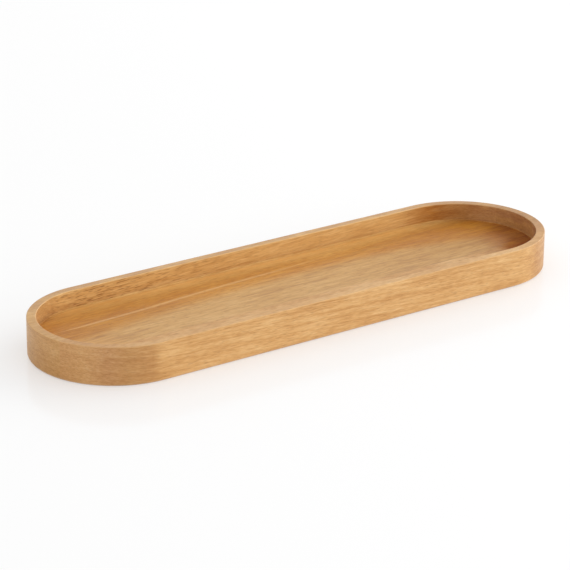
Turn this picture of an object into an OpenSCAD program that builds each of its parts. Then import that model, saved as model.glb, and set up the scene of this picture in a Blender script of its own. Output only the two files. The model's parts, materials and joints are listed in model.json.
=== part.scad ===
// Oblong wooden coaster tray with half-round ends and a shallow routed recess.
// The blank is glued up edge to edge from three staves whose grain runs along X.
// The outline, the recess and the eased edges are then cut through all three at once.
// The origin is the centre of the underside, with +X along the tray and +Z up.

/* [Tray] */
// Overall length, tip to tip
tray_length = 350; // [240:1:450]
// Overall width, which is also the diameter of the round ends
tray_width = 100; // [80:1:140]
// Overall height, underside to rim
tray_height = 23; // [18:0.5:40]

/* [Recess] */
// Width of the rim, the same all the way round
rim_width = 5.5; // [4:0.1:12]
// Depth of the recess below the rim
recess_depth = 11; // [5:0.5:14]
// Radius that the cutter leaves where the wall meets the floor
floor_cove = 0.8; // [0.4:0.1:3]

/* [Eased edges] */
// Rounding of the rim's outer edge
rim_outer_round = 0.8; // [0.4:0.1:2]
// Rounding of the rim's inner edge
rim_inner_round = 0.8; // [0.4:0.1:1.5]
// Rounding of the underside's edge
base_round = 2; // [0.4:0.1:3]

/* [Staves] */
// Width of the front stave, measured across the tray
front_stave_width = 33; // [20:0.5:38]
// Width of the rear stave, measured across the tray
rear_stave_width = 33; // [20:0.5:38]

/* [Hidden] */
// Smoothness of the round ends and the eased edges
$fn = 96;

// Radius of the round ends, outside the rim and inside it
end_radius = tray_width / 2;
recess_radius = end_radius - rim_width;

// The round ends turn about two upright axes, this far apart
end_spacing = tray_length - tray_width;

// Height of the recess floor above the underside
floor_height = tray_height - recess_depth;

// The two glue joints, seen from the side
front_joint_y = front_stave_width - end_radius;
rear_joint_y = end_radius - rear_stave_width;

// How far a cut runs on past the face that it opens
overcut = 1;

// Wood tones of the three staves
front_tone = "#d9a869";
middle_tone = "#cf9a5b";
rear_tone = "#c99250";

// What sanding takes off a square corner at the origin whose wood lies towards +X and +Y
module eased_corner(radius) {
    difference() {
        square(radius);
        translate([radius, radius]) circle(radius);
    }
}

// Half of the blank's section: X is the distance from the middle line, Y is the height
module blank_section() {
    difference() {
        square([end_radius, tray_height]);
        translate([end_radius, 0]) mirror([1, 0]) eased_corner(base_round);
        translate([end_radius, tray_height]) rotate(180) eased_corner(rim_outer_round);
    }
}

// Half of the recess's section, with the cove at its foot and the eased edge at its mouth
module recess_section() {
    difference() {
        translate([0, floor_height]) square([recess_radius, recess_depth + overcut]);
        translate([recess_radius, floor_height]) mirror([1, 0]) eased_corner(floor_cove);
    }
    translate([recess_radius, tray_height]) mirror([0, 1]) eased_corner(rim_inner_round);
}

module tray_section() {
    difference() {
        blank_section();
        recess_section();
    }
}

// The section turned half round an upright axis, towards +X
module round_end() {
    rotate(-90) rotate_extrude(angle = 180) tray_section();
}

// The section and its mirror image carried straight from one round end to the other
module straight_run() {
    translate([-end_spacing / 2, 0, 0]) rotate([90, 0, 90]) linear_extrude(end_spacing) {
        tray_section();
        mirror([1, 0]) tray_section();
    }
}

// The whole tray as it leaves the cutter, before it is told apart into staves
module tray_form() {
    straight_run();
    translate([end_spacing / 2, 0, 0]) round_end();
    mirror([1, 0, 0]) translate([end_spacing / 2, 0, 0]) round_end();
}

// The part of the tray that lies in one stave, between two lines across the width
module stave(from_y, to_y) {
    intersection() {
        tray_form();
        translate([-tray_length / 2 - overcut, from_y, -overcut])
            cube([tray_length + 2 * overcut, to_y - from_y, tray_height + 2 * overcut]);
    }
}

module front_stave() {
    color(front_tone) stave(-end_radius - overcut, front_joint_y);
}

module middle_stave() {
    color(middle_tone) stave(front_joint_y, rear_joint_y);
}

module rear_stave() {
    color(rear_tone) stave(rear_joint_y, end_radius + overcut);
}

front_stave();
middle_stave();
rear_stave();
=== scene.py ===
import json
import math

import bpy
import numpy as np
from mathutils import Matrix, Vector


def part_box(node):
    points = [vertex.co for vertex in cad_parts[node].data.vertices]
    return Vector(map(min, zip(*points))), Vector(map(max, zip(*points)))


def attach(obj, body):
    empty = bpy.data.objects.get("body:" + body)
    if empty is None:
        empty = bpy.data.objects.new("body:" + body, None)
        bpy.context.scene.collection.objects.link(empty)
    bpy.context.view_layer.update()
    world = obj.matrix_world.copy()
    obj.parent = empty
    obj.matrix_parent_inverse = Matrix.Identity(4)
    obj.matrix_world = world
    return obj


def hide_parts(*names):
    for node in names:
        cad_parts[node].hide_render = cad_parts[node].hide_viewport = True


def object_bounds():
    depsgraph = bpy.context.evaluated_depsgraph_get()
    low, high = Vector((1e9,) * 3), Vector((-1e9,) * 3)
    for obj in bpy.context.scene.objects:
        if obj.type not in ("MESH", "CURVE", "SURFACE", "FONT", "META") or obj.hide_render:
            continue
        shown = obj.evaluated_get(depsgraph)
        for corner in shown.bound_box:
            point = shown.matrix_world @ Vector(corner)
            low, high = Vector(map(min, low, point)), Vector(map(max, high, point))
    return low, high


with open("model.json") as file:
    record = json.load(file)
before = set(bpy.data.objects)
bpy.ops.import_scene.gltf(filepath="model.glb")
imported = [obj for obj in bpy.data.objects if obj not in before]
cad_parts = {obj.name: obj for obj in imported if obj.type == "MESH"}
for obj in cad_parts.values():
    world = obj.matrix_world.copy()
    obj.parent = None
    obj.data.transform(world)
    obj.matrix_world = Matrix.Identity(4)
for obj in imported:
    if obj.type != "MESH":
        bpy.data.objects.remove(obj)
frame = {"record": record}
cad_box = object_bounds()

# Front stave
# The front third of the tray, an acacia stave with its grain along the tray and its rear edge glued
# to the middle stave. It carries the front wall, and its ends are turned into the two round ends.
tray_low, tray_high = (np.array(corner) for corner in cad_box)
end_radius = (tray_high[1] - tray_low[1]) / 2
half_spacing = (tray_high[0] - tray_low[0]) / 2 - end_radius
tray_height = tray_high[2]
mounts = {mount["name"]: mount for mount in frame["record"]["mounts"]}
floor_height = mounts["recess_floor"]["pos_m"][2]
front_joint_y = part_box("front_stave")[1][1]
rim_width = 0.0055
rim_outer_round = 0.0005
rim_inner_round = 0.0005
base_round = 0.002
floor_cove = 0.0008
recess_radius = end_radius - rim_width
recess_depth = tray_height - floor_height
# The flat of the rim is worn pale half as much as the middle of an eased edge; the paleness is partly a
# painted highlight.
rim_worn_highlight = 0.5
# Points along the wall's section: on each eased edge, up or down each side of the wall, and across the rim.
edge_steps = 9
side_steps = 14
rim_steps = 8
# Points from the wall to the glue joint, and along the whole stave.
flat_steps = 16
stave_columns = 301
# Edges that turn more than this are drawn sharp: only those of the glue joints do.
sharp_edge = math.radians(40)


def run(start, end, steps):
    """Points on the straight line from start to end, spaced by a cosine so that they crowd at both ends."""
    share = (1 - np.cos(np.linspace(0, np.pi, steps))) / 2
    return np.outer(1 - share, start) + np.outer(share, end)


def arc(centre, radius, from_deg, to_deg):
    """Points on a circle round centre: its radius times cosine and sine of an evenly stepped angle."""
    angle = np.radians(np.linspace(from_deg, to_deg, edge_steps))
    return np.array(centre) + radius * np.stack([np.cos(angle), np.sin(angle)], 1)


def wall_section():
    """The wall's section in rows of distance from the middle line and height: round the base edge, up
    the outside, over the rim's two eased edges, down the inside and through the cove to the floor.
    The third value is how far down the recess's wall a point is, as a share of the depth. The fourth is
    how worn pale it is, partly as a painted highlight: the sine of the way round an eased edge, most in its
    middle, and even on the rim."""
    base_edge = arc((end_radius - base_round, base_round), base_round, -90, 0)
    outer_centre = (end_radius - rim_outer_round, tray_height - rim_outer_round)
    outer_edge = arc(outer_centre, rim_outer_round, 0, 90)
    inner_centre = (recess_radius + rim_inner_round, tray_height - rim_inner_round)
    inner_edge = arc(inner_centre, rim_inner_round, 90, 180)
    cove = arc((recess_radius - floor_cove, floor_height + floor_cove), floor_cove, 0, -90)
    outside = run(base_edge[-1], outer_edge[0], side_steps)[1:-1]
    rim = run(outer_edge[-1], inner_edge[0], rim_steps)[1:-1]
    inside = run(inner_edge[-1], cove[0], side_steps)[1:-1]
    stretches = [base_edge, outside, outer_edge, rim, inner_edge, inside, cove]
    lengths = [len(stretch) for stretch in stretches]
    line = np.concatenate(stretches)
    in_recess = np.repeat([0, 0, 0, 0, 1, 1, 1], lengths)
    depth = in_recess * (tray_height - line[:, 1]) / recess_depth
    base_worn_highlight = np.sin(np.linspace(0, np.pi, len(base_edge)))
    edge_worn_highlight = np.sin(np.linspace(0, np.pi - np.arcsin(rim_worn_highlight), len(outer_edge)))
    worn_highlight = np.concatenate([base_worn_highlight, 0 * outside[:, 0], edge_worn_highlight, np.full(len(rim), rim_worn_highlight),
                           edge_worn_highlight[::-1], 0 * inside[:, 0], 0 * cove[:, 0]])
    return np.column_stack([line, depth, worn_highlight])


def rise(value, start, end):
    """0 up to start and 1 from end on: between them 3t squared less 2t cubed, where t is the way there."""
    way = np.clip((value - start) / (end - start), 0, 1)
    return way ** 2 * (3 - 2 * way)


# The rim is sanded more than the walls, so it shows only a little of its end grain.
rim_end_grain = 0.14
rim_end_power = 0.15


def end_grain_shown(x, y, cut, depth, on_rim):
    """How much end grain shows. Outside at the front left and the rear right, where the cutter ran against
    the grain, it is the cut across the fibres. Elsewhere the face is cleaner, and it is the square of
    that cut. On the rim it is a small share of a low power of the cut, so it is nearly even round an end."""
    against = (depth == 0) & (x * y > 0)
    rim_shown = rim_end_grain * cut ** rim_end_power
    return np.select([on_rim, against], [rim_shown, cut], cut ** 2)


# Near the right end of the recess the wall is golden brown, least at the tip: partly scorch from the cutter,
# and partly painted shade where the wall faces away from the lamp.
wall_scorch_shade_nearing = (0.106, 0.140)
wall_scorch_shade_at_tip = 0.1
wall_scorch_shade_at_sides = 1.12
# The floor there has a golden brown painted shadow of the right wall, up to a little behind the middle, and
# most in a band in front of it.
floor_shadow_brown = 0.6
floor_shadow_brown_in_band = 0.9
floor_shadow_brown_nearing = (0.0, 0.8)
floor_shadow_stops = (0.002, 0.012)
shadow_band_starts = (0.004, 0.024)
shadow_band_stops = (0.018, 0.034)
# At the tip the wall is darker and greyer, partly char and partly painted shade, but less at its foot; so is
# the rim over it.
tip_char_shade_nearing = (0.12, 0.165)
wall_foot_depth = (0.4, 0.6)
wall_foot_spared = 0.5
rim_char = 0.88
rim_char_behind = (-0.045, -0.005)
# The floor by the tip has a grey painted shadow too, whose band starts further from the wall.
floor_shadow_grey_front = 0.5
floor_shadow_grey_rear = 0.9
floor_shadow_grey_in_band = 0.6
floor_shadow_grey_nearing = (0.5, 0.95)
floor_shadow_grey_sooner = 0.29
floor_shadow_grey_stops = (0.015, 0.030)
# A grey painted shade lies along the rear on the rim and its outer edge, which face away from the light.
rear_rim_shade = 0.9
rear_rim_shade_behind = (0.022, 0.044)


def burns_and_shade(x, y, z, depth, low, on_wall, on_rim):
    """Scorch with painted shade, char with painted shade, and the floor's grey painted shadow. The wall's
    scorch and shade rises along the tray, and there with the cube of the distance off the middle line.
    Its char and shade rises nearer to the tip, falls with the square of that distance, and is less at
    the foot. The rim's char rises with it, from the front to the rear. The floor's brown and grey painted
    shadows rise with the distance past the round end's centre, as a share of the recess's radius, and
    grow in the band. The brown shadow stops behind the middle, where the grey one grows before it stops
    too. The grey painted shade of the rear rim rises towards the rear, and counts with the char."""
    off_middle = np.abs(y) / recess_radius
    past_centre = np.maximum(x - half_spacing, 0) / recess_radius
    behind = rise(y, *floor_shadow_stops)
    in_band = rise(-y, *shadow_band_starts) * (1 - rise(-y, *shadow_band_stops))
    wall_scorch_shade = wall_scorch_shade_at_tip + (wall_scorch_shade_at_sides - wall_scorch_shade_at_tip) * off_middle ** 3
    wall_scorch_shade = on_wall * wall_scorch_shade * rise(x, *wall_scorch_shade_nearing)
    low_shadow_brown = (floor_shadow_brown + floor_shadow_brown_in_band * in_band) * (1 - behind)
    low_shadow_brown = low * low_shadow_brown * rise(past_centre, *floor_shadow_brown_nearing)
    wall_char_shade = on_wall * (1 - off_middle ** 2) * (1 - wall_foot_spared * rise(depth, *wall_foot_depth))
    over_tip = on_rim * rim_char * rise(y, *rim_char_behind)
    low_shadow_grey = floor_shadow_grey_front + (floor_shadow_grey_rear - floor_shadow_grey_front) * behind + floor_shadow_grey_in_band * in_band
    low_shadow_grey = low_shadow_grey * rise(past_centre + floor_shadow_grey_sooner * in_band, *floor_shadow_grey_nearing)
    low_shadow_grey = low * low_shadow_grey * (1 - rise(y, *floor_shadow_grey_stops))
    on_edge = (depth == 0) & (z > tray_height - rim_outer_round)
    rear_shade = on_edge * rear_rim_shade * rise(y, *rear_rim_shade_behind)
    char_and_shade = rise(x, *tip_char_shade_nearing) * (wall_char_shade + over_tip) + low_shadow_grey + rear_shade
    return wall_scorch_shade + low_shadow_brown, char_and_shade, low_shadow_grey


# On the floor the saw ran into browner heartwood, to the rear of a curve made of two half parabolas, and
# at the right tip. The brown is partly painted shade: where the rear wall blocks the floor's sheen, and the
# shadow at the tip. Its fading before the rear wall paints light along that wall.
heart_apex = 0.04
heart_left_bow = 2.1
heart_right_bow = 0.75
heart_behind = (0.0105, 0.0235)
heart_tip_shade = 0.75
heart_tip_shade_nearing = (0.134, 0.150)
heart_stops = (0.027, 0.045)


def heartwood_and_shade(x, y, low):
    """How much heartwood, partly painted shade, shows on the floor. It rises behind a line that bows to the
    front with the square of the distance from its apex, or nearer to the tip where that is more, and falls to
    the rear wall."""
    bow = (x - heart_apex) ** 2 / np.where(x < heart_apex, heart_left_bow, heart_right_bow)
    heart_and_shade = np.maximum(rise(y + bow, *heart_behind), heart_tip_shade * rise(x, *heart_tip_shade_nearing))
    return low * heart_and_shade * (1 - rise(y, *heart_stops))


# The floor has painted shade that the walls lack: more to the right, and less at the front, but not by the
# tip.
floor_shade_left = 0.22
floor_shade_right = (0.035, 0.135)
floor_shade_front = 0.2
floor_shade_behind = (-0.020, -0.002)
floor_shade_tip = (0.118, 0.150)
# At the left end there is more painted shade, behind the middle, and all along the rear painted light takes
# some away.
left_end_shade = 0.45
left_end_shade_stops = (-0.125, -0.060)
left_end_shade_behind = (-0.001, 0.011)
rear_painted_light = 0.4
rear_painted_light_behind = (0.018, 0.034)
# Outside, the end grain is darker towards the base.
base_dark = 0.55
base_dark_power = 6
base_dark_below = (0.009, 0.015)


def shade_and_dark_base(x, y, z, cut, depth, low):
    """How much painted shade lies on the floor, and how much darker the outside end grain is. On the floor
    it rises to the right, times a share that rises behind the front or near the tip, plus the left end's
    shade, less the rear's painted light. Outside it goes with a high power of the cut across the fibres,
    and falls with the height."""
    floor_shade = floor_shade_left + (1 - floor_shade_left) * rise(x, *floor_shade_right)
    off_front = np.maximum(rise(y, *floor_shade_behind), rise(x, *floor_shade_tip))
    floor_shade = floor_shade * (floor_shade_front + (1 - floor_shade_front) * off_front)
    floor_shade = floor_shade + left_end_shade * (1 - rise(x, *left_end_shade_stops)) * rise(y, *left_end_shade_behind)
    floor_shade = floor_shade * (1 - rear_painted_light * rise(y, *rear_painted_light_behind))
    dark_base = base_dark * cut ** base_dark_power * (1 - rise(z, *base_dark_below))
    return low * floor_shade + (depth == 0) * dark_base


# A line of painted light lies on the floor along the foot of the long walls.
light_line_starts = (0.0, 0.0025)
light_line_stops = (0.002, 0.009)
light_line_left = (-0.150, -0.125)
light_line_right = (0.10, 0.14)
# Painted light brightens the floor too at the left end, in front of the middle.
bright_share = 0.55
bright_stops = (-0.145, -0.118)
bright_behind = (-0.008, 0.004)


def painted_floor_light(x, y, low):
    """How much painted light lies on the floor. It rises and falls again with the distance from the wall,
    and fades towards both ends, or it is the left end's brightness where that is more."""
    from_wall = recess_radius - np.hypot(np.maximum(np.abs(x) - half_spacing, 0), y)
    line = rise(from_wall, *light_line_starts) * (1 - rise(from_wall, *light_line_stops))
    line = line * rise(x, *light_line_left) * (1 - rise(x, *light_line_right))
    bright = bright_share * (1 - rise(x, *bright_stops)) * (1 - rise(y, *bright_behind))
    return low * np.maximum(line, bright)


# Painted shade darkens the corner at the foot of the recess's wall, but less of it at the right.
foot_depth = (0.5, 1.0)
foot_kept_right = 0.25
foot_right = (0.10, 0.15)
# The recess's wall is flecked towards the left.
fleck_starts = (-0.155, -0.115)
fleck_stops = (-0.10, -0.01)


def with_finish(x, y, z, cut, depth, worn_highlight, floor):
    """Grid points, and what the finish needs at each of them, by name. The floor starts in the cove, so low
    rises to 1 across it. The painted shade at the foot rises down the lower half of the wall, and the
    flecks rise and fall again along it. The floor is dull as far as its grey painted shadow reaches."""
    on_rim = (depth == 0) & np.isclose(z, tray_height)
    low = floor + rise(depth, 1 - floor_cove / recess_depth, 1)
    on_wall = (depth > 0) * (1 - low)
    scorch_and_shade, char_and_shade, dull = burns_and_shade(x, y, z, depth, low, on_wall, on_rim)
    foot_kept = 1 - (1 - foot_kept_right) * rise(x, *foot_right)
    # Besides the wood, its wear and its burns, these carry painted shade and shadow by the right end, on the
    # floor, at the wall's foot and along the rear rim, painted light on the floor, and painted highlights on
    # the edges.
    finish = {
        "end_grain": end_grain_shown(x, y, cut, depth, on_rim),
        "depth": depth,
        "worn_highlight": worn_highlight,
        "scorch_and_shade": scorch_and_shade,
        "char_and_shade": char_and_shade,
        "dull": dull,
        "heart_and_shade": heartwood_and_shade(x, y, low),
        "floor_shade_and_base_dark": shade_and_dark_base(x, y, z, cut, depth, low),
        "foot": rise(depth, *foot_depth) * (1 - low) * foot_kept,
        "fleck": on_wall * rise(x, *fleck_starts) * (1 - rise(x, *fleck_stops)),
        "floor_light": painted_floor_light(x, y, low),
    }
    return np.stack(np.broadcast_arrays(x, y, z), -1), finish


def outer_stave(side, joint_y):
    """A stave that carries a long wall, as a grid of distance along the tray by distance along the section.
    A section point at radius r runs straight for the length between the end centres and then turns round
    each end centre on radius r, until its line meets the glue joint. The sine of that turn is how squarely
    the wall cuts the fibres."""
    joint = abs(joint_y)
    wall = wall_section()
    underside = np.pad(run((joint, 0.0), wall[0, :2], flat_steps)[:-1], ((0, 0), (0, 2)))
    floor = np.pad(run(wall[-1, :2], (joint, floor_height), flat_steps)[1:], ((0, 0), (0, 2)))
    radius, height, depth, worn_highlight = np.concatenate([underside, wall, floor]).T
    lengths = [len(underside), len(wall), len(floor)]
    is_wall = np.repeat([0.0, 1.0, 0.0], lengths)
    is_floor = np.repeat([0.0, 0.0, 1.0], lengths)
    turn_to_joint = np.arccos(np.minimum(joint / radius, 1.0))
    share = np.linspace(side, -side, stave_columns)[:, None]
    travel = share * (half_spacing + radius * turn_to_joint)
    straight = np.clip(travel, -half_spacing, half_spacing)
    turn = (travel - straight) / radius
    x = straight + radius * np.sin(turn)
    y = side * radius * np.cos(turn)
    return with_finish(x, y, height, is_wall * np.abs(np.sin(turn)), depth, worn_highlight, is_floor)


def closed_mesh(name, points, finish, cap_loops, wraps):
    """A mesh of the grid's cells, which may close on itself along the section, and of one flat face
    for each loop of grid points that lies in a glue joint. What the finish needs becomes attributes."""
    rows, columns = points.shape[:2]
    index = np.arange(rows * columns).reshape(rows, columns)
    if wraps:
        index = np.concatenate([index, index[:, :1]], 1)
    cells = np.stack([index[:-1, :-1], index[1:, :-1], index[1:, 1:], index[:-1, 1:]], -1).reshape(-1, 4)
    mesh = bpy.data.meshes.new(name)
    mesh.from_pydata(points.reshape(-1, 3).tolist(), [], cells.tolist() + cap_loops)
    for attribute, values in finish.items():
        at_points = mesh.attributes.new(attribute, "FLOAT", "POINT").data
        at_points.foreach_set("value", np.broadcast_to(values, (rows, columns)).ravel())
    mesh.polygons.foreach_set("use_smooth", np.ones(len(mesh.polygons), bool))
    mesh.set_sharp_from_angle(angle=sharp_edge)
    piece = bpy.data.objects.new(name, mesh)
    bpy.context.scene.collection.objects.link(piece)
    return piece


def joint_loop(points):
    """The grid's whole border, turned so that it faces out of the grid: all of it lies in the glue joint."""
    index = np.arange(points.shape[0] * points.shape[1]).reshape(points.shape[:2])
    border = np.concatenate([index[:-1, 0], index[-1, :-1], index[:0:-1, -1], index[0, :0:-1]])
    return border[::-1].tolist()


def linear(hex_colour):
    """An sRGB hex colour as linear red, green, blue and full alpha."""
    channels = np.array([int(hex_colour[i:i + 2], 16) for i in (1, 3, 5)]) / 255
    straight = np.where(channels <= 0.04045, channels / 12.92, ((channels + 0.055) / 1.055) ** 2.4)
    return (*straight, 1.0)


def per_mm(sizes_mm):
    """How often a pattern repeats in a millimetre: one over each of its sizes."""
    return tuple(1 / size for size in sizes_mm)


def add_node(tree, kind, options, sockets):
    """Adds a node, sets its options, and gives each socket a value or a link from another node's output."""
    node = tree.nodes.new(kind)
    for option, value in options.items():
        setattr(node, option, value)
    for socket, value in sockets.items():
        if isinstance(value, bpy.types.NodeSocket):
            tree.links.new(value, node.inputs[socket])
        else:
            node.inputs[socket].default_value = value
    return node


# A Mix node has one set of sockets for each kind of data: these are the colour ones.
MIX_FACTOR = 0
MIX_A = 6
MIX_B = 7
MIX_RESULT = 2

# Object coordinates are in metres, and the wood's patterns in millimetres.
mm_in_metre = 1000.0
# A noise swings about this value.
noise_middle = 0.5
# The fibres sway by a millimetre or so, over these lengths along the tray, across it and up.
sway_over_mm = (90.0, 30.0, 30.0)
sway_by_mm = (0.0, 2.0, 0.6)
sway_detail = 2.0
# Growth layers: how thick they are, and how far along the tray one keeps its tone.
layer_mm_thick = 2.2
layer_mm_long = 110.0
layer_detail = 3.0
layer_roughness = 0.62
# The wood's figure: millimetres along the fibres, round the growth layers and through them, and finer
# detail. Mottle is the cloudy change where fibres tilt, and streaks are bundles of fibres. Flecks are dark
# dashes, and pores the open ends of the wood's vessels. Fibres and pores are drawn several times
# coarser than they are so that they show.
figure = {
    "mottle": (30.0, 14.0, 6.0, 1.0),
    "streaks": (16.0, 3.5, 1.0, 2.0),
    "fibres": (5.0, 1.5, 0.5, 2.0),
    "flecks": (6.0, 1.6, 0.6, 1.0),
    "pores": (4.0, 1.2, 0.5, 1.0),
}
# How much of the tone each of the first three makes. They are longer on a stave with long grain.
tone_shares = {"mottle": 0.5, "streaks": 0.7, "fibres": 1.0}
# The tone runs from dark at 0 to pale at 1. On a square cut the figure is calmer, by this share.
mid_tone = 0.5
end_calm = 0.3
# Flecks and pores are the peaks of their noises.
fleck_peaks = (0.5, 0.72)
fleck_brown = "#8A5526"
pore_peaks = (0.6, 0.76)
pore_share = 0.25
pore_brown = "#6B3F1C"
# Painted shade deepens the tone of the floor, and the outside end grain darkens towards the base.
floor_shade_tint = "#E7DAB6"
# What oil does to the tone as the cut turns across the fibres: a slanting cut is torn and drinks the
# most, and a square one sands smoother and stays paler.
end_tints = {
    0.05: "#FFFFFF", 0.15: "#EAE1D7", 0.42: "#E5DDD5",
    0.62: "#EAE2E8", 0.8: "#FAF8FF", 1.0: "#F9F1F3",
}
# Scorch and char, with their painted shade, turn the wood golden brown and then greyer, in patches that
# run on across the glue joints: their size along the tray, across it and up, how far the pattern is
# shifted, and the limits and strengths.
patch_mm = (20.0, 10.0, 3.0)
patch_shift = 12.0
patch_detail = 2.0
burn_and_shade_coats = {
    "scorch_and_shade": {"tint": "#D3B27C", "from": (0.25, 0.75), "to": (0.6, 1.3)},
    "char_and_shade": {"tint": "#E0D4DF", "from": (0.3, 0.7), "to": (0.3, 1.7)},
}
# Painted shade darkens the corner at the foot of the recess's wall.
foot_tint = "#E9E2DA"
# The floor's painted light is brighter and more yellow.
floor_light_tone = "#F4B764"
floor_light_share = 0.45
# The oil's satin sheen, which is rougher towards a pore. The corner that sanding misses has no sheen, from
# this depth on, and neither has the floor with this much of its grey painted shadow.
satin_pores = (0.35, 0.7)
satin_roughness = (0.4, 0.48)
unsanded_depth = (0.85, 0.93)
dull_at_shadow = 0.5
dull_roughness = 0.95
oil_ior = 1.45
# Fibres stand up, and pores lie open, by about this much.
relief_height = 0.00015
relief_strength = 0.25


def oiled_acacia(name, board, finish):
    """Solid acacia, sanded and oiled. Growth layers lie round a pith line below the stave, and streaks,
    fibres, flecks and open pores run along the tray. Where the cut crosses the fibres the wood drinks more
    oil and turns darker and greyer. Where the cutter burnt it, and in painted shade and shadow by the
    right end, it turns golden brown and then grey. Painted shade also lies on the floor, at the wall's
    foot and along the rear rim, painted light lies on the floor, and the worn edges carry painted
    highlights. The oil leaves a satin sheen. The names in finish are those of the mesh's attributes."""
    material = bpy.data.materials.new(name)
    material.use_nodes = True
    tree = material.node_tree
    tree.nodes.clear()
    on_mesh = {}
    for attribute in finish:
        reader = add_node(tree, "ShaderNodeAttribute", {"attribute_name": attribute}, {})
        on_mesh[attribute] = reader.outputs["Fac"]
    place = add_node(tree, "ShaderNodeTexCoord", {}, {}).outputs["Object"]
    place_mm = add_node(tree, "ShaderNodeVectorMath", {"operation": "SCALE"},
                        {0: place, "Scale": mm_in_metre}).outputs["Vector"]

    # The fibres' sway.
    sway_place = add_node(tree, "ShaderNodeVectorMath", {"operation": "MULTIPLY_ADD"},
                          {0: place_mm, 1: per_mm(sway_over_mm), 2: (board["log_mm"], 0.0, 0.0)})
    sway = add_node(tree, "ShaderNodeTexNoise", {},
                    {"Vector": sway_place.outputs["Vector"], "Scale": 1.0, "Detail": sway_detail})
    swing = add_node(tree, "ShaderNodeVectorMath", {"operation": "SUBTRACT"},
                     {0: sway.outputs["Color"], 1: (noise_middle,) * 3}).outputs["Vector"]
    sway_mm = add_node(tree, "ShaderNodeVectorMath", {"operation": "MULTIPLY_ADD"},
                       {0: swing, 1: sway_by_mm, 2: place_mm}).outputs["Vector"]

    # Growth layers: the distance from the pith line, which runs at a slight angle to the tray.
    along = add_node(tree, "ShaderNodeSeparateXYZ", {}, {"Vector": sway_mm})
    pith_run = add_node(tree, "ShaderNodeVectorMath", {"operation": "SCALE"},
                        {0: (1.0, *board["pith_slope"]), "Scale": along.outputs["X"]}).outputs["Vector"]
    pith_line = add_node(tree, "ShaderNodeVectorMath", {"operation": "ADD"},
                         {0: pith_run, 1: (0.0, *board["pith_mm"])})
    layer_mm = add_node(tree, "ShaderNodeVectorMath", {"operation": "DISTANCE"},
                        {0: sway_mm, 1: pith_line.outputs["Vector"]}).outputs["Value"]
    far_along = add_node(tree, "ShaderNodeMath", {"operation": "MULTIPLY"},
                         {0: along.outputs["X"], 1: layer_mm_thick / layer_mm_long}).outputs["Value"]
    layer_place = add_node(tree, "ShaderNodeCombineXYZ", {},
                           {"X": layer_mm, "Y": far_along}).outputs["Vector"]
    layers = add_node(tree, "ShaderNodeTexNoise", {"noise_dimensions": "2D"},
                      {"Vector": layer_place, "Scale": 1 / layer_mm_thick, "Detail": layer_detail,
                       "Roughness": layer_roughness}).outputs["Fac"]

    # The figure: noises stretched along the fibres, which start at the stave's place in its log.
    log_along = add_node(tree, "ShaderNodeMath", {"operation": "ADD"},
                         {0: along.outputs["X"], 1: board["log_mm"]}).outputs["Value"]
    log_place = add_node(tree, "ShaderNodeCombineXYZ", {},
                         {"X": log_along, "Y": along.outputs["Y"], "Z": layer_mm}).outputs["Vector"]
    grain = {}
    for feature, (along_mm, round_mm, through_mm, detail) in figure.items():
        long_mm = along_mm * board["long_grain"] if feature in tone_shares else along_mm
        squeezed = add_node(tree, "ShaderNodeVectorMath", {"operation": "MULTIPLY"},
                            {0: log_place, 1: per_mm((long_mm, round_mm, through_mm))})
        noise = add_node(tree, "ShaderNodeTexNoise", {},
                         {"Vector": squeezed.outputs["Vector"], "Scale": 1.0, "Detail": detail})
        grain[feature] = noise.outputs["Fac"]

    # Tone: the growth layers and the figure, each about its own middle, on a slow drift along the stave.
    shares = [board["layers"], *tone_shares.values()]
    tone = add_node(tree, "ShaderNodeMath", {"operation": "MULTIPLY_ADD"},
                    {0: along.outputs["X"], 1: board["drift"],
                     2: mid_tone - sum(shares) * noise_middle}).outputs["Value"]
    for noise, share in zip([layers, *(grain[feature] for feature in tone_shares)], shares):
        tone = add_node(tree, "ShaderNodeMath", {"operation": "MULTIPLY_ADD"},
                        {0: noise, 1: share, 2: tone}).outputs["Value"]
    tone = add_node(tree, "ShaderNodeMapRange", {},
                    {"Value": on_mesh["end_grain"], "From Max": 1 / end_calm, "To Min": tone,
                     "To Max": mid_tone}).outputs["Result"]
    ramp = add_node(tree, "ShaderNodeValToRGB", {}, {"Fac": tone})
    stops = ramp.color_ramp.elements
    stops[0].color = linear(board["dark"])
    stops[1].color = linear(board["pale"])
    stops.new(mid_tone).color = linear(board["mid"])

    # What lies over the tone, in order, as the kind of blend, how much of it shows, and its colour: first
    # the heartwood with its painted shade, the floor's painted shade and the outside's darker base, and the
    # single growth layers that show as streaks on the floor.
    coats = [("MULTIPLY", on_mesh["heart_and_shade"], linear(board["heart_and_shade"])),
             ("MULTIPLY", on_mesh["floor_shade_and_base_dark"], linear(floor_shade_tint))]
    for streak in board["streaks"]:
        off_layer = add_node(tree, "ShaderNodeMath", {"operation": "SUBTRACT"},
                             {0: layer_mm, 1: streak["layer_mm"]}).outputs["Value"]
        off_streak = add_node(tree, "ShaderNodeMath", {"operation": "ABSOLUTE"}, {0: off_layer})
        fade = add_node(tree, "ShaderNodeMapRange", {"interpolation_type": "SMOOTHSTEP"},
                        {"Value": along.outputs["X"], "From Min": streak["full_to_mm"],
                         "From Max": streak["gone_at_mm"], "To Min": streak["strength"],
                         "To Max": 0.0}).outputs["Result"]
        on_streak = add_node(tree, "ShaderNodeMapRange", {"interpolation_type": "SMOOTHSTEP"},
                             {"Value": off_streak.outputs["Value"], "From Min": 0.0,
                              "From Max": streak["half_mm"], "To Min": fade, "To Max": 0.0})
        coats.append(("MIX", on_streak.outputs["Result"], linear(streak["tone"])))

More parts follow.
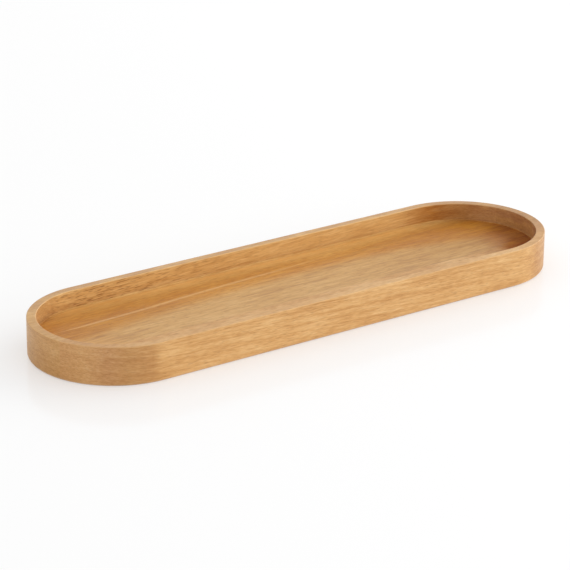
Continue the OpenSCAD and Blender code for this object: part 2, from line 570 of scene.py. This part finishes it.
    # Flecks and pores.
    fleck_share = add_node(tree, "ShaderNodeMapRange", {},
                           {"Value": on_mesh["fleck"], "To Min": board["flecks"],
                            "To Max": board["left_flecks"]}).outputs["Result"]
    flecks = add_node(tree, "ShaderNodeMapRange", {"interpolation_type": "SMOOTHSTEP"},
                      {"Value": grain["flecks"], "From Min": fleck_peaks[0], "From Max": fleck_peaks[1],
                       "To Max": fleck_share}).outputs["Result"]
    pores = add_node(tree, "ShaderNodeMapRange", {},
                     {"Value": grain["pores"], "From Min": pore_peaks[0], "From Max": pore_peaks[1],
                      "To Max": pore_share}).outputs["Result"]
    coats.append(("MIX", flecks, linear(fleck_brown)))
    coats.append(("MIX", pores, linear(pore_brown)))

    # End grain.
    end_ramp = add_node(tree, "ShaderNodeValToRGB", {}, {"Fac": on_mesh["end_grain"]})
    end_stops = end_ramp.color_ramp.elements
    end_stops.remove(end_stops[1])
    for position, tint in end_tints.items():
        end_stops.new(position).color = linear(tint)
    end_stops.remove(end_stops[0])
    coats.append(("MULTIPLY", 1.0, end_ramp.outputs["Color"]))

    # The right end of the recess, burnt and in painted shade and shadow, the painted shade at the foot of
    # the wall, the painted light on the floor, and worn edges with their painted highlights.
    patch_place = add_node(tree, "ShaderNodeVectorMath", {"operation": "MULTIPLY_ADD"},
                           {0: place_mm, 1: per_mm(patch_mm), 2: (patch_shift, 0.0, 0.0)})
    patch_noise = add_node(tree, "ShaderNodeTexNoise", {},
                           {"Vector": patch_place.outputs["Vector"], "Scale": 1.0,
                            "Detail": patch_detail}).outputs["Fac"]
    # These coats also paint the shade and shadow by the right end of the recess.
    for darkening, coat in burn_and_shade_coats.items():
        patches = add_node(tree, "ShaderNodeMapRange", {},
                           {"Value": patch_noise, "From Min": coat["from"][0], "From Max": coat["from"][1],
                            "To Min": coat["to"][0], "To Max": coat["to"][1]}).outputs["Result"]
        darkened = add_node(tree, "ShaderNodeMath", {"operation": "MULTIPLY"},
                         {0: on_mesh[darkening], 1: patches}).outputs["Value"]
        coats.append(("MULTIPLY", darkened, linear(coat["tint"])))
    coats.append(("MULTIPLY", on_mesh["foot"], linear(foot_tint)))
    bright = add_node(tree, "ShaderNodeMath", {"operation": "MULTIPLY"},
                      {0: on_mesh["floor_light"], 1: floor_light_share}).outputs["Value"]
    coats.append(("MIX", bright, linear(floor_light_tone)))
    worn_highlight_pale = add_node(tree, "ShaderNodeMath", {"operation": "MULTIPLY"},
                         {0: on_mesh["worn_highlight"], 1: board["worn_highlight"]}).outputs["Value"]
    coats.append(("MIX", worn_highlight_pale, linear(board["pale"])))
    colour = ramp.outputs["Color"]
    for blend, share, tint in coats:
        colour = add_node(tree, "ShaderNodeMix", {"data_type": "RGBA", "blend_type": blend},
                          {MIX_FACTOR: share, MIX_A: colour, MIX_B: tint}).outputs[MIX_RESULT]

    # Sheen and relief.
    satin = add_node(tree, "ShaderNodeMapRange", {},
                     {"Value": grain["pores"], "From Min": satin_pores[0], "From Max": satin_pores[1],
                      "To Min": satin_roughness[0], "To Max": satin_roughness[1]}).outputs["Result"]
    sanded = add_node(tree, "ShaderNodeMapRange", {"interpolation_type": "SMOOTHSTEP"},
                      {"Value": on_mesh["depth"], "From Min": unsanded_depth[0],
                       "From Max": unsanded_depth[1], "To Min": satin,
                       "To Max": dull_roughness}).outputs["Result"]
    roughness = add_node(tree, "ShaderNodeMapRange", {},
                         {"Value": on_mesh["dull"], "From Max": dull_at_shadow, "To Min": sanded,
                          "To Max": dull_roughness}).outputs["Result"]
    relief = add_node(tree, "ShaderNodeMath", {"operation": "SUBTRACT"},
                      {0: grain["fibres"], 1: pores}).outputs["Value"]
    bump = add_node(tree, "ShaderNodeBump", {},
                    {"Strength": relief_strength, "Distance": relief_height, "Height": relief})
    wood = add_node(tree, "ShaderNodeBsdfPrincipled", {},
                    {"Base Color": colour, "Roughness": roughness, "IOR": oil_ior,
                     "Normal": bump.outputs["Normal"]})
    add_node(tree, "ShaderNodeOutputMaterial", {}, {"Surface": wood.outputs["BSDF"]})
    return material


# What sets one stave's wood apart: its place along the log, where the pith lies across the tray and up, and
# how far that moves in a millimetre along it, how fast the tone drifts to the right, how much longer its
# grain is, how strong its growth layers and its flecks are, and how pale its edges have worn, which partly
# paints their highlights.
front_board = {
    "pale": "#E5BC83", "mid": "#D2A062", "dark": "#B78042", "heart_and_shade": "#FAE0A0",
    "log_mm": 0.0, "pith_mm": (-30.0, -150.0), "pith_slope": (0.0, -0.04),
    "drift": 0.0001, "long_grain": 1.0, "layers": 0.7,
    "left_flecks": 0.15, "flecks": 0.15, "worn_highlight": 0.35, "streaks": [],
}
front_points, front_finish = outer_stave(-1, front_joint_y)
front_stave = closed_mesh("oiled_front_stave", front_points, front_finish, [joint_loop(front_points)], False)
front_stave.data.materials.append(oiled_acacia("oiled_acacia_front", front_board, front_finish))
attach(front_stave, "root")
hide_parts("front_stave")

# Middle stave
# The middle third of the tray, glued between the other two. It is most of the floor, and its ends are
# the tips of the round ends, where the cut runs straight across the fibres.
rear_joint_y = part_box("rear_stave")[0][1]
# Points along the underside and the floor, and across the stave.
sweep_steps = 61
middle_columns = 41
middle_board = {
    "pale": "#E3BB80", "mid": "#CFA05F", "dark": "#AE7C41", "heart_and_shade": "#FBE28A",
    "log_mm": 1180.0, "pith_mm": (12.0, -200.0), "pith_slope": (0.06, 0.0),
    "drift": -0.0003, "long_grain": 2.5, "layers": 0.7,
    "left_flecks": 0.15, "flecks": 0.15, "worn_highlight": 0.25, "streaks": [],
}


def middle_grid():
    """The stave as a grid of distance across it by distance round its long section: along the underside,
    up and over the right end, along the floor and over the left end. At each place the long section is
    stretched so that it ends on the round ends' radius."""
    wall = wall_section()
    sweep = run((-1.0, 0.0), (1.0, 0.0), sweep_steps)[1:-1, 0]
    reach = np.concatenate([sweep, np.ones(len(wall)), -sweep, -np.ones(len(wall))])
    underside = np.tile((*wall[0, :2], 0.0, 0.0), (len(sweep), 1))
    floor = np.tile((*wall[-1, :2], 0.0, 0.0), (len(sweep), 1))
    radius, height, depth, worn_highlight = np.concatenate([underside, wall, floor, wall[::-1]]).T
    lengths = [len(sweep), len(wall), len(sweep), len(wall)]
    is_wall = np.repeat([0.0, 1.0, 0.0, 1.0], lengths)
    is_floor = np.repeat([0.0, 0.0, 1.0, 0.0], lengths)
    across = np.linspace(front_joint_y, rear_joint_y, middle_columns)[:, None]
    x = reach * (half_spacing + np.sqrt(radius ** 2 - across ** 2))
    square_cut = is_wall * np.sqrt(1 - (across / radius) ** 2)
    return with_finish(x, across, height, square_cut, depth, worn_highlight, is_floor)


middle_points, middle_finish = middle_grid()
round_count = middle_points.shape[1]
front_loop = list(range(round_count))
rear_loop = [(middle_columns - 1) * round_count + place for place in reversed(front_loop)]
middle_stave = closed_mesh("oiled_middle_stave", middle_points, middle_finish, [front_loop, rear_loop], True)
middle_stave.data.materials.append(oiled_acacia("oiled_acacia_middle", middle_board, middle_finish))
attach(middle_stave, "root")
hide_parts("middle_stave")

# Rear stave
# The rear third of the tray, the front stave's mirror image in shape. Its front edge is glued to the
# middle stave, and it carries the rear wall. Three of its growth layers show as streaks on the floor.
rear_board = {
    "pale": "#EBC588", "mid": "#D8A967", "dark": "#BD8747", "heart_and_shade": "#ECCE80",
    "log_mm": 1400.0, "pith_mm": (8.0, -60.0), "pith_slope": (0.0757, 0.0),
    "drift": 0.0003, "long_grain": 1.6, "layers": 0.5,
    "left_flecks": 0.75, "flecks": 0.2, "worn_highlight": 0.35,
    "streaks": [
        {"layer_mm": 74.6, "half_mm": 0.45, "strength": 0.4, "full_to_mm": -20.0, "gone_at_mm": 70.0,
         "tone": "#EFC78E"},
        {"layer_mm": 74.0, "half_mm": 0.4, "strength": 0.3, "full_to_mm": -90.0, "gone_at_mm": -40.0,
         "tone": "#A9712F"},
        {"layer_mm": 73.3, "half_mm": 0.5, "strength": 0.42, "full_to_mm": 70.0, "gone_at_mm": 30.0,
         "tone": "#A9712F"},
    ],
}
rear_points, rear_finish = outer_stave(1, rear_joint_y)
rear_stave = closed_mesh("oiled_rear_stave", rear_points, rear_finish, [joint_loop(rear_points)], False)
rear_stave.data.materials.append(oiled_acacia("oiled_acacia_rear", rear_board, rear_finish))
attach(rear_stave, "root")
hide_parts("rear_stave")

# Table
# A white gloss table top under the tray. It is not part of the object: it carries the soft shadow and
# the faint mirror image below the front wall.
table_half_side = 12.0
table_white = "#FFFFFF"
table_roughness = 0.15
table_ior = 1.4
# How much of the table is plain white to the eye, so that it fades into the background.
table_plain = 0.4


def seen_by_eye(tree):
    """1 for a ray from the camera, also by way of gloss or glass, and 0 for one that lights the tray: the
    largest of the ray's three flags."""
    ray = add_node(tree, "ShaderNodeLightPath", {}, {})
    straight_or_gloss = add_node(tree, "ShaderNodeMath", {"operation": "MAXIMUM"},
                                 {0: ray.outputs["Is Camera Ray"], 1: ray.outputs["Is Glossy Ray"]})
    seen = add_node(tree, "ShaderNodeMath", {"operation": "MAXIMUM"},
                    {0: straight_or_gloss.outputs["Value"], 1: ray.outputs["Is Transmission Ray"]})
    return seen.outputs["Value"]


table_mesh = bpy.data.meshes.new("table")
table_corners = [(-table_half_side, -table_half_side, 0.0), (table_half_side, -table_half_side, 0.0),
                 (table_half_side, table_half_side, 0.0), (-table_half_side, table_half_side, 0.0)]
table_mesh.from_pydata(table_corners, [], [(0, 1, 2, 3)])
table = bpy.data.objects.new("table", table_mesh)
bpy.context.scene.collection.objects.link(table)
table_material = bpy.data.materials.new("white_gloss_laminate")
table_material.use_nodes = True
table_tree = table_material.node_tree
table_tree.nodes.clear()
table_glow = add_node(table_tree, "ShaderNodeMath", {"operation": "MULTIPLY"},
                      {0: seen_by_eye(table_tree), 1: table_plain})
laminate = add_node(table_tree, "ShaderNodeBsdfPrincipled", {},
                    {"Base Color": linear(table_white), "Roughness": table_roughness, "IOR": table_ior})
plain_white = add_node(table_tree, "ShaderNodeEmission", {}, {"Color": linear(table_white), "Strength": 1.0})
table_surface = add_node(table_tree, "ShaderNodeMixShader", {},
                         {0: table_glow.outputs["Value"], 1: laminate.outputs["BSDF"],
                          2: plain_white.outputs["Emission"]})
add_node(table_tree, "ShaderNodeOutputMaterial", {}, {"Surface": table_surface.outputs["Shader"]})
table_mesh.materials.append(table_material)

# Studio
# White walls all round give the even light, and are plain white to the eye. A very large soft lamp on the
# right models the tray, and a weaker one in front of it lifts the front wall.
wall_white = "#FFFFFF"
wall_light = 0.8
wall_seen = 1.0
world = bpy.data.worlds.new("white_studio")
bpy.context.scene.world = world
world.use_nodes = True
sky = world.node_tree
sky.nodes.clear()
wall_level = add_node(sky, "ShaderNodeMapRange", {},
                      {"Value": seen_by_eye(sky), "To Min": wall_light, "To Max": wall_seen})
walls = add_node(sky, "ShaderNodeBackground", {},
                 {"Color": linear(wall_white), "Strength": wall_level.outputs["Result"]})
add_node(sky, "ShaderNodeOutputWorld", {}, {"Surface": walls.outputs["Background"]})


def soft_lamp(name, place, width, height, watts):
    """A rectangular soft box that faces the middle of the tray."""
    lamp_data = bpy.data.lights.new(name, "AREA")
    lamp_data.shape = "RECTANGLE"
    lamp_data.size = width
    lamp_data.size_y = height
    lamp_data.energy = watts
    lamp = bpy.data.objects.new(name, lamp_data)
    lamp.location = place
    lamp.rotation_euler = (-Vector(place)).to_track_quat("-Z", "Y").to_euler()
    bpy.context.scene.collection.objects.link(lamp)


soft_lamp("key_lamp", place=(2.04, -0.37, 0.85), width=3.0, height=1.6, watts=28.5)
soft_lamp("front_fill", place=(0.3, -1.93, 0.45), width=2.2, height=0.8, watts=8.3)

# Camera
# A long lens, about a metre and a half from the tray, to the left of its front wall and above it.
view_azimuth = math.radians(-35.88)
view_elevation = math.radians(21.05)
view_roll = math.radians(0.465)
camera_distance = 1.497
lens_mm = 160.8
sensor_mm = 36.0
# The tray's origin lies this far right of the frame's middle and below it, measured at the tray.
framing_right = 0.00709
framing_down = 0.0119
back = Vector((math.sin(view_azimuth) * math.cos(view_elevation),
               -math.cos(view_azimuth) * math.cos(view_elevation),
               math.sin(view_elevation)))
level = Vector((math.cos(view_azimuth), math.sin(view_azimuth), 0.0))
right = Matrix.Rotation(view_roll, 3, back) @ level
up = back.cross(right)
camera_data = bpy.data.cameras.new("camera")
camera_data.sensor_fit = "HORIZONTAL"
camera_data.sensor_width = sensor_mm
camera_data.lens = lens_mm
camera = bpy.data.objects.new("camera", camera_data)
camera_place = back * camera_distance - right * framing_right + up * framing_down
camera.matrix_world = Matrix.Translation(camera_place) @ Matrix((right, up, back)).transposed().to_4x4()
bpy.context.scene.collection.objects.link(camera)
bpy.context.scene.camera = camera
bpy.context.scene.view_settings.view_transform = "Standard"
